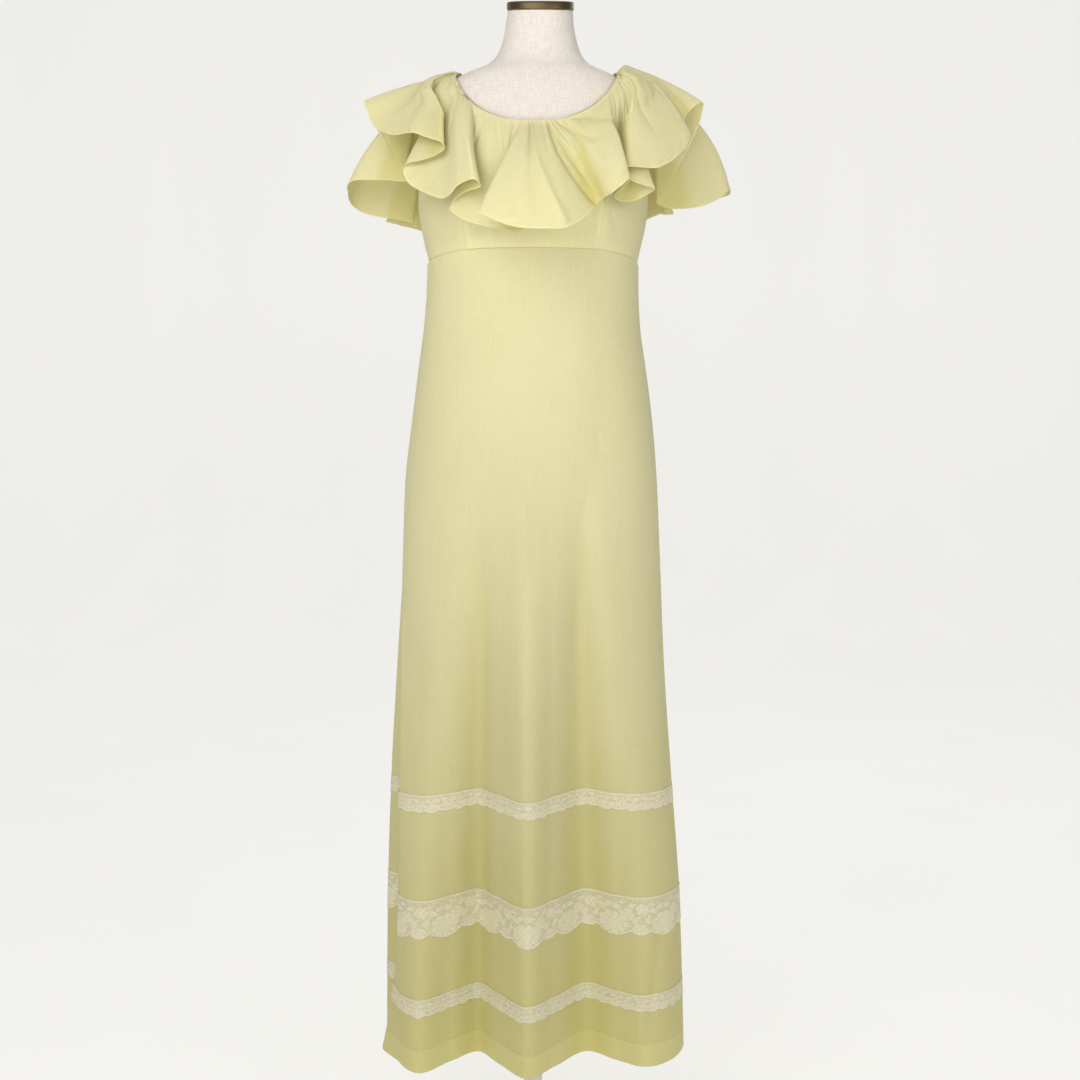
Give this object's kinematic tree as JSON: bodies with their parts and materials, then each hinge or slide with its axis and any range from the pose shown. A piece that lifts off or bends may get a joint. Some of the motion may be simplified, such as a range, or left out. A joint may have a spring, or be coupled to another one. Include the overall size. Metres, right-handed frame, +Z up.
{
  "type": "maxi dress on a dress form",
  "caption": "Floor-length sleeveless empire-line dress with a full circular neck ruffle and lace bands round the skirt, worn by a limbless dress form on a round base.",
  "frame": {"origin": "centre of the underside of the stand's base, on the floor", "axes": "+Z up along the pole, -Y the front of the dress, +X the viewer's right when facing the front"},
  "size_m": [0.5475, 0.4237, 1.6186],
  "materials": {
    "dress_cloth": "pale yellow light cotton, matte",
    "lace": "cream cotton lace, matte",
    "form_linen": "off-white linen over a firm form, matte",
    "form_cap": "satin, slightly dulled",
    "form_stand": "pale satin"
  },
  "bodies": {
    "root": {"bodice_front_centre": "dress_cloth", "bodice_front_left": "dress_cloth", "bodice_front_right": "dress_cloth", "bodice_back_left": "dress_cloth", "bodice_back_right": "dress_cloth", "skirt_front": "dress_cloth", "skirt_back_left": "dress_cloth", "skirt_back_right": "dress_cloth", "ruffle_front": "dress_cloth", "ruffle_back": "dress_cloth", "lace_upper_front": "lace", "lace_upper_back": "lace", "lace_middle_front": "lace", "lace_middle_back": "lace", "lace_lower_front": "lace", "lace_lower_back": "lace", "form_torso": "form_linen", "form_neck_cap": "form_cap", "form_pole": "form_stand", "form_base": "form_stand"}
  },
  "joints": []
}
